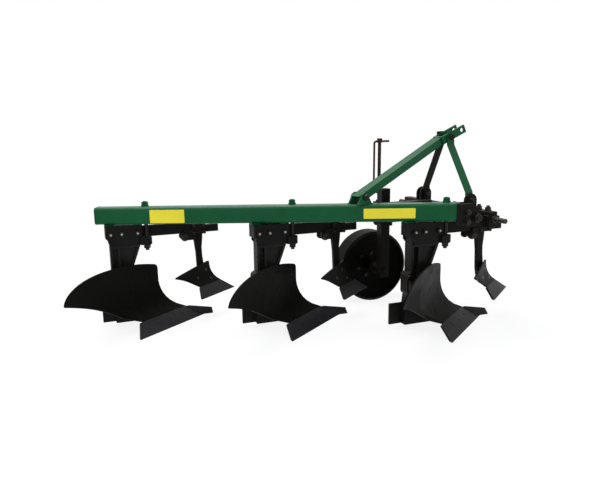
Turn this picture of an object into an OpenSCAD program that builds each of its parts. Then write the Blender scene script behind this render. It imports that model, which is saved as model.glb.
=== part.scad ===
// Three-furrow mounted plough, right-hand, with skimmers and a depth wheel.
// Millimetres. +X is the way of travel, +Y is to the left, +Z is up.
// Every piece is drawn in the furrow frame, whose origin is the front share's
// point on the ground, and then moved so that the part's origin is at the
// middle of its footprint.

/* [Layout] */
// Distance from one body to the next along the way of travel
body_spacing = 800; // [760:10:900]
// Width of one furrow, which is also the side step from body to body
cut_width = 350; // [330:10:380]

/* [Main beam and frame] */
// Outside size of the square main beam
beam_size = 100; // [90:1:120]
// Wall of the main beam
beam_wall = 8; // [5:0.5:12]
// Outside corner radius of the main beam
beam_corner = 12; // [9:1:16]
// Height of the beam's underside above the ground
beam_z = 645; // [640:1:700]
// Length of beam ahead of the front stand
beam_front = 182; // [150:1:190]
// Length of beam behind the rear stand
beam_rear = 142; // [120:1:200]
// Sideways place of the beam's middle over each stand
beam_y = -100; // [-110:1:-90]
// Size of the left rail's square tube
rail_size = 60; // [50:1:70]
// Wall of the rail and crossbar tubes
tube_wall = 6; // [4:0.5:8]
// Sideways place of the left rail's middle
rail_y = 315; // [305:1:325]
// Height of the left rail's underside
rail_z = 638; // [637:1:646]

/* [Hitch] */
// Middle of the front crossbar along the way of travel
crossbar_x = -162; // [-170:1:-155]
// Depth of the crossbar along the way of travel
crossbar_d = 72; // [64:1:84]
// Height of the crossbar
crossbar_h = 64; // [60:1:80]
// Height of the crossbar's underside
crossbar_z = 600; // [598:1:615]
// Right end of the crossbar
crossbar_right = -250; // [-280:1:-240]
// Left end of the crossbar
crossbar_left = 620; // [580:1:640]
// Diameter of the lower hitch pins
pin_d = 28; // [22:1:36]
// Free length of the lower hitch pins
pin_len = 92; // [80:1:120]
// Sideways place of the mast's middle
mast_y = 185; // [175:1:195]
// Height of the top link hole above the ground
top_hole_z = 1140; // [1100:1:1160]
// Place of the top link hole along the way of travel
top_hole_x = -100; // [-120:1:-80]
// Diameter of the top link hole
top_hole_d = 25.5; // [19:0.1:32]
// Clear gap between the top link ears
clevis_gap = 64; // [52:1:80]
// Sideways distance from the mast's middle to each crossbar ear
ear_step = 226; // [200:1:240]
// Thickness of the mast's flat bars and ears
bar_t = 12; // [8:1:16]
// Width of the mast's flat bar legs
leg_w = 45; // [36:1:60]

/* [Stand and bracket] */
// Middle of the stand behind the share's point
stand_x = -535; // [-545:1:-525]
// Thickness of the hollow cast stand
stand_t = 70; // [60:1:76]
// Thickness of the web between the stand's cored sides
stand_web = 18; // [12:1:30]
// Width of the rim round the stand's cored sides
stand_rim = 14; // [10:1:18]
// Sideways place of the stand's middle
stand_y = -93; // [-96:1:-90]
// Height of the body bracket's top plate
bracket_z = 636; // [628:1:636]
// Thickness of the bracket's cheeks and plates
cheek_t = 12; // [8:1:14]
// Diameter of the draw stud that ties each bracket to the beam
stud_d = 22; // [16:1:24]

/* [Mouldboard, share and landside] */
// Angle of the cutting edge to the way of travel
edge_angle = 36.2; // [34:0.1:40]
// Angle of the mouldboard's highest straight line to the way of travel
top_angle = 43; // [41:0.1:45]
// Thickness of the mouldboard
board_t = 9; // [6:0.5:12]
// Thickness of the share
share_t = 12; // [8:0.5:14]
// Length of the share's cutting edge
share_len = 611; // [560:1:640]
// Height of the landside's upper edge
landside_h = 145; // [120:1:150]
// Height of the landside's lower edge above the share's cutting edge
landside_foot = 19; // [0:1:24]
// Thickness of the landside plate
landside_t = 14; // [10:1:16]
// Rear end of the landside behind the share's point
landside_rear = -677; // [-720:1:-650]

/* [Skimmer] */
// Height of the skimmer's cutting edge above the ground
skimmer_z = 150; // [140:1:170]
// Place of the skimmer's point ahead of the body's share point
skimmer_x = 182; // [170:1:195]
// Depth of the skimmer's carrier bar
skimmer_bar_h = 45; // [40:1:48]
// Thickness of the skimmer's carrier bar
skimmer_bar_t = 30; // [24:1:32]
// Thickness of the skimmer's stem
stem_t = 24; // [18:1:28]

/* [Depth wheel] */
// Outside diameter of the wheel
wheel_d = 480; // [440:1:500]
// Width of the wheel's rim
wheel_w = 150; // [110:1:160]
// Thickness of the rim and the wheel's disc
wheel_plate = 8; // [5:0.5:10]
// Place of the axle along the way of travel
wheel_x = -484; // [-492:1:-476]
// Sideways place of the wheel's middle
wheel_y = 574; // [570:1:590]
// Diameter of the axle's spindle
spindle_d = 40; // [30:1:50]
// Size of the square wheel post
post_size = 60; // [56:1:64]
// Sideways place of the wheel post
post_y = 400; // [396:1:402]
// Height of the wheel post's top with the wheel on the ground
post_top = 780; // [770:1:790]
// Travel of the wheel post in its sleeve
wheel_lift = 270; // [200:1:275]
// Diameter of the depth screw
screw_d = 24; // [18:1:26]
// Height of the crank hub above the ground
crank_z = 1090; // [1085:1:1120]

/* [Hidden] */
$fn = 64;

frame_green = [0.10, 0.36, 0.22];
tool_black = [0.09, 0.09, 0.09];
bar_black = [0.13, 0.12, 0.12];
steel = [0.35, 0.35, 0.36];

body_count = 3;
seat_gap = 0.3;
slide_gap = 0.3;
running_gap = 0.05;
big = 4000;

// Plough body layout
beam_angle = atan(cut_width / body_spacing);
beam_pitch = norm([body_spacing, cut_width]);
function body_at(k) = [-k * body_spacing, k * cut_width, 0];

// The working surfaces are cylindroids: level straight lines that follow the
// breast curve in the landside plane and turn as they rise. A board's row is
// nose angle, breast radius, height of the breast arc's middle, edge angle,
// angle at the top, seam height, breast top, crest place, crest height,
// heel place, tail place, tail height, crest power, fall power, breast corner.
NOSE = 0;
RADIUS = 1;
ARC_Z = 2;
EDGE = 3;
TOP = 4;
SEAM = 5;
BREAST = 6;
CREST_S = 7;
CREST_Z = 8;
HEEL_S = 9;
TAIL_S = 10;
TAIL_Z = 11;
ROUND = 12;
FALL = 13;
CORNER = 14;
main_board = [22, 205, 268, edge_angle, top_angle, 62, 354, 420, 410, 400, 740, 277, 2.6, 0.5, 24];
skim_board = [33, 140, 185, 37.6, 42, 60, 195, 1, 196, 215, 345, 148, 1.15, 0.9, 10];
tail_edge = 8;

function nose_top(b) = b[ARC_Z] - b[RADIUS] * cos(b[NOSE]);
function arc_x(b) = b[RADIUS] * sin(b[NOSE]) - nose_top(b) / tan(b[NOSE]);
function breast_x(b, z) =
    z < nose_top(b) ? -z / tan(b[NOSE])
    : z < b[ARC_Z] ? arc_x(b) - sqrt(b[RADIUS] * b[RADIUS] - (b[ARC_Z] - z) * (b[ARC_Z] - z))
    : arc_x(b) - b[RADIUS];
function line_angle(b, z) =
    b[EDGE] + (b[TOP] - b[EDGE]) * max(0, z - b[SEAM]) / (b[CREST_Z] - b[SEAM]);
function on_board(b, s, z) =
    [breast_x(b, z) - s * cos(line_angle(b, z)), -s * sin(line_angle(b, z)), z];
function unit(v) = v / norm(v);
function board_back(b, s, z) =
    unit(cross(on_board(b, s + 1, z) - on_board(b, s - 1, z),
               on_board(b, s, z + 1) - on_board(b, s, z - 1)));
function low_edge(b, s) =
    s < b[HEEL_S] ? b[SEAM] + seat_gap
    : b[SEAM] + seat_gap
      + (b[TAIL_Z] - b[SEAM]) * pow((s - b[HEEL_S]) / (b[TAIL_S] - b[HEEL_S]), 0.46);
function corner_drop(b, s) =
    s < b[CORNER] ? b[CORNER] - sqrt(pow(b[CORNER], 2) - pow(b[CORNER] - s, 2)) : 0;
function high_edge(b, s) = crest_edge(b, s) - corner_drop(b, s);
function crest_edge(b, s) =
    s < b[CREST_S]
    ? b[CREST_Z] - (b[CREST_Z] - b[BREAST]) * pow((b[CREST_S] - s) / b[CREST_S], 2)
    : b[TAIL_Z] + tail_edge + (b[CREST_Z] - b[TAIL_Z] - tail_edge)
      * pow(1 - pow((s - b[CREST_S]) / (b[TAIL_S] - b[CREST_S]), b[ROUND]), b[FALL]);
function board_columns(b, n) =
    concat([for (i = [0 : 3]) b[CORNER] * (1 - cos(90 * i / 4))],
           [for (i = [4 : n]) b[CORNER] + (b[TAIL_S] - b[CORNER]) * sin(90 * (i - 4) / (n - 4))]);
function board_face(b, t, n, m) =
    [for (s = board_columns(b, n)) for (j = [0 : m])
        let (z = low_edge(b, s) + (high_edge(b, s) - low_edge(b, s)) * j / m)
        on_board(b, s, z) + t * board_back(b, s, z)];
function edge_slope(b) = atan(tan(b[NOSE]) / sin(b[EDGE]));

board_columns_n = 26;
board_rows_n = 10;
tail_points = concat(board_face(main_board, 0, board_columns_n, board_rows_n),
                     board_face(main_board, board_t, board_columns_n, board_rows_n));

// Stand, bracket and pad places in a body's own frame
near_y = stand_y - stand_t / 2;
far_y = stand_y + stand_t / 2;
cheek_near = near_y - cheek_t;
cheek_far = far_y + cheek_t;
bracket_rear = stand_x - 97;
bracket_front = stand_x + 118;
stand_rear = stand_x - 77;
stud_x = stand_x + 143;
stud_off_axis = 34.5;
stud_y = beam_y - (stud_x - stand_x) * tan(beam_angle) + stud_off_axis;
lug_r = 30;
lug_root = 16;
lug_z = 515;
lug_h = 43;
// Pads under the beam: middle along travel, middle across, length, width
PADS = [[stand_x - 70, -80, 54, 60], [stand_x + 89, -126, 44, 28]];

// Skimmer bar, stem and clamp places
bar_y = cheek_far;
bar_z = 546;
stem_y = bar_y + skimmer_bar_t;
skimmer_y = 5;
clamp_bolt_out = 9;

// Footprint
front_x = skimmer_x;
rear_x = min([for (p = tail_points) p.x]) + body_at(body_count - 1).x;
right_y = min([for (p = tail_points) p.y]);
left_y = max(crossbar_left + pin_len,
             body_at(body_count - 1).y + stem_y + stem_t + cheek_t + clamp_bolt_out);
footprint_middle = [(front_x + rear_x) / 2, (right_y + left_y) / 2, 0];

// Wheel post, sleeve and screw places
wheel_r = wheel_d / 2;
sleeve_t = 12;
sleeve_half = post_size / 2 + slide_gap + sleeve_t;
sleeve_z = 540;
sleeve_h = 150;
screw_y = post_y + post_size / 2 + screw_d / 2 + 20;
lug_t = 28;
nut_z = post_top - 36;
collar_h = 10;
spindle_end = wheel_y + 66;

// Mast places
mast_ear_z = crossbar_z + crossbar_h + 66;
mast_tilt = 24.3;
apex_back = 95;
apex_x = top_hole_x - apex_back * cos(mast_tilt);
apex_z = top_hole_z - apex_back * sin(mast_tilt);
ear_in = clevis_gap / 2;
ear_out = ear_in + bar_t;
foot_s = -345;
foot_z = beam_z + beam_size + 40;
foot_xy = [stand_x, beam_y] + foot_s * [cos(beam_angle), -sin(beam_angle)];
head_back = 150;
head_xy = [top_hole_x - head_back * cos(mast_tilt), mast_y];
head_z = top_hole_z - head_back * sin(mast_tilt);
brace_yaw = atan2(head_xy.y - foot_xy.y, head_xy.x - foot_xy.x);
brace_run = norm(head_xy - foot_xy);
brace_rise = atan2(head_z - foot_z, brace_run);
brace_len = norm([brace_run, head_z - foot_z]);
brace_w = clevis_gap;
brace_h = 45;

// Shared shapes

module placed() {
    translate(-footprint_middle) children();
}

module at_body(k) {
    placed() translate(body_at(k)) children();
}

module on_beam() {
    placed() translate([stand_x, beam_y, beam_z]) rotate([0, 0, -beam_angle]) children();
}

// Plate with its outline in the X-Z plane, from y0 to y1
module side_plate(points, y0, y1) {
    translate([0, y1, 0]) rotate([90, 0, 0]) linear_extrude(y1 - y0) polygon(points);
}

// Round bar along Y from y0 to y1
module cross_rod(x, z, d, y0, y1) {
    translate([x, y0, z]) rotate([-90, 0, 0]) cylinder(d = d, h = y1 - y0);
}

module block(low, high) {
    translate(low) cube(high - low);
}

// Hexagon nut standing on z
module hex_nut(d, z, h) {
    translate([0, 0, z]) cylinder(d = d * 1.8, h = h, $fn = 6);
}

// Closed curved sheet on a working surface
module curved_sheet(b, t, n, m) {
    row = m + 1;
    side = (n + 1) * row;
    face = [for (i = [0 : n - 1]) for (j = [0 : m - 1])
        let (a = i * row + j) each [[a, a + row, a + row + 1], [a, a + row + 1, a + 1]]];
    back = [for (f = face) [f[0] + side, f[2] + side, f[1] + side]];
    low = [for (i = [0 : n - 1]) let (a = i * row, c = a + row)
        each [[a, a + side, c + side], [a, c + side, c]]];
    high = [for (i = [0 : n - 1]) let (a = i * row + m, c = a + row)
        each [[a, c, c + side], [a, c + side, a + side]]];
    breast = [for (j = [0 : m - 1]) each [[j, j + 1, j + 1 + side], [j, j + 1 + side, j + side]]];
    tail = [for (j = [0 : m - 1]) let (a = n * row + j)
        each [[a, a + side, a + 1 + side], [a, a + 1 + side, a + 1]]];
    polyhedron(concat(board_face(b, 0, n, m), board_face(b, t, n, m)),
               concat(face, back, low, high, breast, tail));
}

// Puts a plate's top face in the share plane: x along the edge, y up the slope
module in_share_plane(b) {
    rotate([0, 0, b[EDGE]]) rotate([edge_slope(b), 0, 0]) rotate([0, 180, 0]) children();
}

// The room a share needs, for seating what carries it
module above_share(b, t) {
    room = 60;
    in_share_plane(b) translate([-big / 2, -big / 2, -room])
        cube([big, big / 2 + b[SEAM] / sin(edge_slope(b)) + 12, room + t + seat_gap]);
}

// Share: flat plate ground flat underneath, with its heel and breast edges
module share_plate(b, t, length, heel_a) {
    slope = edge_slope(b);
    width = b[SEAM] / sin(slope);
    shin_a = b[SEAM] / tan(b[NOSE]) * cos(b[EDGE]);
    difference() {
        in_share_plane(b) linear_extrude(t)
            polygon([[0, 0], [length, 0], [heel_a, width], [shin_a, width]]);
        translate([-big / 2, -big / 2, -big]) cube([big, big, big]);
    }
}

// Frame

module rounded_tube(length, w, h, r, wall, cap) {
    difference() {
        union() {
            translate([0, -w / 2, r]) cube([length, w, h - 2 * r]);
            translate([0, -w / 2 + r, 0]) cube([length, w - 2 * r, h]);
            for (y = [-w / 2 + r, w / 2 - r]) for (z = [r, h - r])
                translate([0, y, z]) rotate([0, 90, 0]) cylinder(r = r, h = length);
        }
        translate([cap, -w / 2 + wall, wall]) cube([length, w - 2 * wall, h - 2 * wall]);
    }
}

module main_beam() {
    color(frame_green) difference() {
        on_beam() translate([-(body_count - 1) * beam_pitch - beam_rear, 0, 0])
            rounded_tube((body_count - 1) * beam_pitch + beam_rear + beam_front,
                         beam_size, beam_size, beam_corner, beam_wall, beam_wall);
        for (k = [0 : body_count - 1]) at_body(k)
            translate([stud_x, stud_y, beam_z - 1]) cylinder(d = stud_d + 1, h = beam_size + 2);
    }
}

module beam_pads() {
    color(frame_green) for (k = [0 : body_count - 1]) at_body(k) for (p = PADS)
        translate([p[0] - p[2] / 2, p[1] - p[3] / 2, bracket_z]) cube([p[2], p[3], beam_z - bracket_z]);
}

head_plate_t = 14;
head_flange_t = 14;

module beam_head() {
    cross_rear = crossbar_x - crossbar_d / 2;
    beam_mid_z = beam_z + beam_size / 2;
    color(bar_black) difference() {
        union() {
            on_beam() translate([beam_front, -beam_size / 2 - 8, -8])
                cube([head_flange_t, beam_size + 16, beam_size + 8]);
            placed() for (y = [beam_y - 118, beam_y - 48])
                side_plate([[stand_x, beam_mid_z + 45], [cross_rear - 90, beam_mid_z + 45],
                            [cross_rear, crossbar_z + crossbar_h - 4], [cross_rear, crossbar_z + 4],
                            [cross_rear - 90, beam_z - 38], [stand_x, beam_z - 2]],
                           y, y + head_plate_t);
        }
        on_beam() translate([beam_front - big, -big / 2, -big / 2]) cube([big, big, big]);
    }
    color(bar_black) placed()
        cross_rod(cross_rear - 62, crossbar_z + crossbar_h - 6, 64, beam_y - 118 + head_plate_t, beam_y - 48);
}

module left_rail() {
    color(bar_black) difference() {
        placed() block([stand_x - 1100, rail_y - rail_size / 2, rail_z],
                       [crossbar_x - crossbar_d / 2, rail_y + rail_size / 2, rail_z + rail_size]);
        placed() block([stand_x - 1100 + tube_wall, rail_y - rail_size / 2 + tube_wall, rail_z + tube_wall],
                       [crossbar_x, rail_y + rail_size / 2 - tube_wall, rail_z + rail_size - tube_wall]);
        on_beam() translate([-big, beam_size / 2 - big, -big / 2]) cube([2 * big, big, big]);
    }
}

// Hitch

module front_crossbar() {
    x0 = crossbar_x - crossbar_d / 2;
    color(bar_black) placed() difference() {
        block([x0, crossbar_right, crossbar_z],
              [x0 + crossbar_d, crossbar_left, crossbar_z + crossbar_h]);
        block([x0 + tube_wall, crossbar_right + 2 * tube_wall, crossbar_z + tube_wall],
              [x0 + crossbar_d - tube_wall, crossbar_left - 2 * tube_wall,
               crossbar_z + crossbar_h - tube_wall]);
    }
}

ear_r = 42;

module crossbar_ears() {
    color(bar_black) placed() for (side = [-1, 1]) {
        y0 = mast_y + side * ear_step - bar_t / 2;
        translate([0, y0, 0]) difference() {
            union() {
                cross_rod(crossbar_x, mast_ear_z, 2 * ear_r, 0, bar_t);
                block([crossbar_x - ear_r, 0, crossbar_z + crossbar_h], [crossbar_x + ear_r, bar_t, mast_ear_z]);
            }
            cross_rod(crossbar_x, mast_ear_z, 21, -1, bar_t + 1);
        }
    }
}

// Stepped hitch pin pointing along +Z from its shoulder
module hitch_pin() {
    chamfer = 3;
    cylinder(d = pin_d * 1.5, h = 10);
    cylinder(d = pin_d, h = pin_len - chamfer);
    translate([0, 0, pin_len - chamfer]) cylinder(d1 = pin_d, d2 = pin_d - 2 * chamfer, h = chamfer);
}

pin_z = crossbar_z + crossbar_h / 2 + 14;

module lower_pin_left() {
    color(steel) placed() translate([crossbar_x, crossbar_left, pin_z]) rotate([-90, 0, 0]) hitch_pin();
}

module lower_pin_right() {
    color(steel) placed() translate([crossbar_x, crossbar_right, pin_z]) rotate([90, 0, 0]) hitch_pin();
}

// Flat bar leg, cranked so that both ends lie flat on what they are bolted to
module mast_leg(side) {
    foot = side * (ear_step - bar_t / 2 - bar_t);
    head = side * ear_out;
    rise = norm([apex_x - crossbar_x, apex_z - mast_ear_z]);
    lean = atan2(apex_x - crossbar_x, apex_z - mast_ear_z);
    end = 34;
    straight = 48;
    placed() translate([crossbar_x, mast_y, mast_ear_z]) rotate([0, lean, 0])
        difference() {
            translate([-leg_w / 2, 0, 0]) rotate([90, 0, 90]) linear_extrude(leg_w)
                polygon([[foot, -end], [foot, straight], [head, rise - straight], [head, rise + end],
                         [head + side * bar_t, rise + end], [head + side * bar_t, rise - straight],
                         [foot + side * bar_t, straight], [foot + side * bar_t, -end]]);
            for (z = [0, rise]) cross_rod(0, z, 21, -ear_step, ear_step);
        }
}

module mast_leg_left() { color(bar_black) mast_leg(1); }
module mast_leg_right() { color(frame_green) mast_leg(-1); }

// Top link clevis: two ears on a back plate, in line with the brace
module mast_head() {
    ear_w = 48;
    color(frame_green) placed() translate([top_hole_x, mast_y, top_hole_z]) rotate([0, -mast_tilt, 0])
        difference() {
            union() {
                for (y = [-ear_out, ear_in])
                    block([-head_back, y, -ear_w / 2], [ear_w / 2, y + bar_t, ear_w / 2]);
                block([-head_back, -ear_out, -ear_w / 2], [-head_back + bar_t, ear_out, ear_w / 2]);
            }
            cross_rod(0, 0, top_hole_d, -ear_out - 1, ear_out + 1);
            cross_rod(-apex_back, 0, 21, -ear_out - 1, ear_out + 1);
        }
}

module along_brace() {
    placed() translate([foot_xy.x, foot_xy.y, foot_z]) rotate([0, 0, brace_yaw]) rotate([0, -brace_rise, 0])
        children();
}

module mast_brace() {
    color(frame_green) difference() {
        along_brace() difference() {
            block([-32, -brace_w / 2, -brace_h / 2], [brace_len + 60, brace_w / 2, brace_h / 2]);
            block([-33, -brace_w / 2 + tube_wall, -brace_h / 2 - 1],
                  [brace_len + 61, brace_w / 2 - tube_wall, brace_h / 2 - tube_wall]);
            cross_rod(0, 0, 21, -brace_w, brace_w);
        }
        placed() translate([top_hole_x, mast_y, top_hole_z]) rotate([0, -mast_tilt, 0])
            block([-head_back, -big / 2, -big / 2], [big, big / 2, big / 2]);
    }
}

module brace_foot() {
    lug_r = 26;
    color(frame_green) difference() {
        placed() translate([foot_xy.x, foot_xy.y, foot_z]) rotate([0, 0, brace_yaw])
            for (y = [-brace_w / 2 - seat_gap - bar_t, brace_w / 2 + seat_gap]) difference() {
                union() {
                    side_plate([[-62, -60], [62, -60], [lug_r * 0.8, lug_r * 0.6], [-lug_r * 0.8, lug_r * 0.6]],
                               y, y + bar_t);
                    cross_rod(0, 0, 2 * lug_r, y, y + bar_t);
                }
                cross_rod(0, 0, 21, -brace_w, brace_w);
            }
        placed() translate([-big / 2, -big / 2, beam_z + beam_size - big]) cube([big, big, big]);
    }
}

// Bolts that hold the mast: apex, two crossbar ears and the brace's foot
module mast_pins() {
    bolt_d = 20;
    color(steel) {
        placed() cross_rod(apex_x, apex_z, bolt_d, mast_y - ear_out - bar_t - 16, mast_y + ear_out + bar_t + 16);
        for (side = [-1, 1]) placed()
            cross_rod(crossbar_x, mast_ear_z, bolt_d, mast_y + side * ear_step - 36, mast_y + side * ear_step + 36);
        placed() translate([foot_xy.x, foot_xy.y, foot_z]) rotate([0, 0, brace_yaw])
            cross_rod(0, 0, bolt_d, -brace_w / 2 - bar_t - 16, brace_w / 2 + bar_t + 16);
    }
}

// Plough bodies

module body_bracket(k) {
    under = bracket_z - 14;
    cheek = [[bracket_rear + cheek_t, under], [bracket_front, under], [bracket_front, 560],
             [bracket_front - lug_root, lug_z], [stand_rear + 12, lug_z], [bracket_rear + cheek_t, 540]];
    color(bar_black) at_body(k) difference() {
        union() {
            block([bracket_rear, cheek_near, under], [bracket_front, cheek_far, bracket_z]);
            block([bracket_rear, cheek_near, 562], [bracket_rear + cheek_t, cheek_far, under]);
            side_plate(cheek, cheek_near, near_y);
            side_plate(cheek, far_y, cheek_far);
            block([bracket_front - lug_root, stud_y - lug_r, lug_z], [stud_x, stud_y + lug_r, lug_z + lug_h]);
            translate([stud_x, stud_y, lug_z]) cylinder(r = lug_r, h = lug_h);
        }
        translate([stud_x, stud_y, lug_z - 1]) cylinder(d = stud_d + 1, h = lug_h + 2);
    }
}

// Draw studs from the bracket lugs up through the beam, with their nuts
module draw_studs() {
    nut_h = 18;
    color(steel) for (k = [0 : body_count - 1]) at_body(k) translate([stud_x, stud_y, 0]) {
        translate([0, 0, lug_z - 36]) cylinder(d = stud_d, h = beam_z + beam_size + 28 - lug_z + 36);
        hex_nut(stud_d, lug_z - nut_h - 6, nut_h);
        translate([0, 0, lug_z - 6]) cylinder(d = 2 * stud_d, h = 6);
        translate([0, 0, beam_z + beam_size]) cylinder(d = 2 * stud_d, h = 6);
        hex_nut(stud_d, beam_z + beam_size + 6, nut_h);
    }
}

stand_foot_z = 140;

module stand(k) {
    head_x = bracket_front - lug_root - seat_gap;
    outline = [[stand_rear, bracket_z - 14], [head_x, bracket_z - 14], [head_x, 510],
               [stand_x + 58, 393], [stand_x + 48, 330], [stand_x + 44, 250], [stand_x + 50, 190],
               [stand_x + 40, stand_foot_z], [stand_x - 52, stand_foot_z], [stand_x - 67, stand_foot_z + 25],
               [stand_rear, 215], [stand_rear - 20, 228], [stand_rear - 24, 240], [stand_rear - 24, 335],
               [stand_rear - 18, 348], [stand_rear, 356]];
    core_top = lug_z - stand_rim;
    core_foot = stand_foot_z + stand_rim;
    rib_rear = stand_x - 25 - stand_rim / 2;
    rear_core = [[stand_rear + stand_rim, core_top], [rib_rear, core_top], [rib_rear, core_foot],
                 [stand_x - 45, core_foot], [stand_x - 54, stand_foot_z + 32],
                 [stand_rear + stand_rim, 219]];
    front_core = [[rib_rear + stand_rim, core_top], [stand_x + 97 - stand_rim, core_top],
                  [stand_x + 58 - stand_rim, 393], [stand_x + 48 - stand_rim, 330],
                  [stand_x + 44 - stand_rim, 250], [stand_x + 50 - stand_rim, 190],
                  [stand_x + 43 - stand_rim, core_foot], [rib_rear + stand_rim, core_foot]];
    depth = (stand_t - stand_web) / 2;
    color(tool_black) at_body(k) difference() {
        side_plate(outline, near_y, far_y);
        for (core = [rear_core, front_core]) {
            side_plate(core, near_y - 1, near_y + depth);
            side_plate(core, far_y - depth, far_y + 1);
        }
    }
}

module frog(k) {
    core = [[stand_x - 65, 20], [stand_x - 65, 150], [stand_x - 45, 300], [stand_x + 126, 300],
            [stand_x + 126, 255], [stand_x + 134, 195], [stand_x + 152, 155], [stand_x + 188, 108],
            [stand_x + 232, 76], [stand_x + 280, 52], [stand_x + 400, 52], [stand_x + 400, 20]];
    color(tool_black) at_body(k) difference() {
        side_plate(core, far_y, -landside_t);
        above_share(main_board, share_t);
    }
}

module mouldboard(k) {
    color(tool_black) at_body(k) curved_sheet(main_board, board_t, board_columns_n, board_rows_n);
}

module share(k) {
    nose = [[18, 0], [18, 33], [-135, 62], [-150, 60], [-60, 0]];
    nose_rise = atan((62 - 33) / (18 + 135));
    heel = on_board(main_board, main_board[HEEL_S], main_board[SEAM]);
    heel_a = -heel.x * cos(edge_angle) - heel.y * sin(edge_angle);
    color(steel) at_body(k) {
        share_plate(main_board, share_t, share_len, heel_a);
        difference() {
            side_plate(nose, -30, 0);
            translate([18, 0, 33]) rotate([0, nose_rise, 0]) rotate([42, 0, 0])
                translate([-big / 2, -big / 2, 0]) cube([big, big, big]);
        }
    }
}

module landside(k) {
    color(tool_black) at_body(k) difference() {
        side_plate([[landside_rear, landside_foot], [landside_rear, landside_h], [-318, landside_h], [-291, 110],
                    [-240, 74], [-205, 56], [-125, landside_foot]], -landside_t, 0);
        above_share(main_board, share_t);
    }
}

// Flat stays from each stand's rear lug to the back of its mouldboard wing
module wing_braces() {
    color(bar_black) for (k = [0 : body_count - 1]) at_body(k) {
        s = 560;
        z = 300;
        back = board_back(main_board, s, z);
        seat = on_board(main_board, s, z) + (board_t + 2 * seat_gap) * back;
        start = [stand_rear - 4, near_y + 10, 290];
        run = seat - start;
        difference() {
            translate(start) rotate([0, 0, atan2(run.y, run.x)]) rotate([0, -asin(run.z / norm(run)), 0])
                block([0, -bar_t / 2, -22], [norm(run) + 30, bar_t / 2, 22]);
            translate(seat) rotate([0, acos(back.z), atan2(back.y, back.x)])
                block([-100, -100, -200], [100, 100, 0]);
            block([stand_rear - 100, near_y - seat_gap, 200], [stand_rear + 100, near_y + 100, 450]);
        }
    }
}

// Skimmers

module skimmer_bar(k) {
    root_x = crossbar_x - crossbar_d / 2 - 20;
    color(bar_black) at_body(k) {
        block([stand_x - 65, bar_y, bar_z], [70, bar_y + skimmer_bar_t, bar_z + skimmer_bar_h]);
        block([stand_x - 65, bar_y, bar_z], [root_x, bar_y + skimmer_bar_t, bar_z + 1.5 * skimmer_bar_h]);
    }
}

clamp_x = -57;
clamp_bolt_x = -148;
clamp_bolt_z = 522;

module skimmer_clamps() {
    lobe_d = 50;
    color(bar_black) for (k = [0 : body_count - 1]) at_body(k) {
        for (y = [bar_y - cheek_t, stem_y + stem_t]) {
            block([clamp_x - 44, y, bar_z - 8], [clamp_x + 44, y + cheek_t, bar_z + skimmer_bar_h + 8]);
            block([clamp_bolt_x, y, clamp_bolt_z - 20], [clamp_x - 20, y + cheek_t, bar_z + 20]);
            cross_rod(clamp_bolt_x, clamp_bolt_z, lobe_d, y, y + cheek_t);
        }
        cross_rod(clamp_bolt_x, clamp_bolt_z, 30, bar_y - cheek_t - clamp_bolt_out,
                  stem_y + stem_t + cheek_t + clamp_bolt_out);
    }
}

module skimmer_stem(k) {
    outline = [[-88, 630], [-26, 630], [-26, 560], [-29, 500], [-36, 440], [-34, 390], [-28, 340],
               [-26, 300], [-8, 248], [16, 214], [100, 200], [100, 186], [-34, 200], [-60, 245],
               [-70, 300], [-72, 350], [-74, 410], [-82, 480], [-88, 540]];
    color(bar_black) at_body(k) difference() {
        side_plate(outline, stem_y, stem_y + stem_t);
        translate([skimmer_x, skimmer_y, skimmer_z]) above_share(skim_board, share_t);
    }
}

module skimmer_board(k) {
    color(tool_black) at_body(k) translate([skimmer_x, skimmer_y, skimmer_z])
        curved_sheet(skim_board, board_t, 14, 6);
}

module skimmer_share(k) {
    heel = on_board(skim_board, skim_board[HEEL_S], skim_board[SEAM]);
    heel_a = -heel.x * cos(skim_board[EDGE]) - heel.y * sin(skim_board[EDGE]);
    color(steel) at_body(k) translate([skimmer_x, skimmer_y, skimmer_z])
        share_plate(skim_board, share_t, 340, heel_a);
}

// Depth wheel

module wheel_bracket() {
    half = sleeve_half;
    hole = post_size / 2 + slide_gap;
    color(bar_black) placed() translate([wheel_x, post_y, 0]) difference() {
        union() {
            block([-half, -half, sleeve_z], [half, half, sleeve_z + sleeve_h]);
            block([-98, rail_y + rail_size / 2 - post_y, sleeve_z + 24], [98, -half, sleeve_z + sleeve_h]);
            block([-28, half, sleeve_z + sleeve_h - lug_t], [28, screw_y - post_y + 24, sleeve_z + sleeve_h]);
        }
        block([-hole, -hole, sleeve_z - 1], [hole, hole, sleeve_z + sleeve_h + 1]);
        translate([0, screw_y - post_y, sleeve_z]) cylinder(d = screw_d + 0.6, h = sleeve_h + 1);
    }
}

module depth_screw() {
    lug_low = sleeve_z + sleeve_h - lug_t;
    color(steel) placed() translate([wheel_x, screw_y, 0]) {
        translate([0, 0, lug_low - 24]) cylinder(d = screw_d, h = crank_z - 20 - lug_low + 24);
        translate([0, 0, lug_low - seat_gap - collar_h]) cylinder(d = screw_d + 14, h = collar_h);
        translate([0, 0, sleeve_z + sleeve_h + seat_gap]) cylinder(d = screw_d + 14, h = collar_h);
    }
}

// Crank hub with its bent handle hanging down and a short cross pin
module crank_handle() {
    rod = 13;
    drop = 235;
    reach = 38;
    color(steel) placed() translate([wheel_x, screw_y, 0]) {
        translate([0, 0, crank_z - 20]) cylinder(d = screw_d + 10, h = 28);
        translate([-reach + rod, 0, crank_z - 11]) rotate([0, 90, 0]) cylinder(d = rod, h = reach + 55);
        translate([-reach + rod, 0, crank_z - 11 - rod]) rotate([-90, 0, 0]) rotate([0, 0, 180])
            rotate_extrude(angle = 90) translate([rod, 0]) circle(d = rod);
        translate([-reach, 0, crank_z - 11 - rod - drop]) cylinder(d = rod, h = drop);
    }
}

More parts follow.
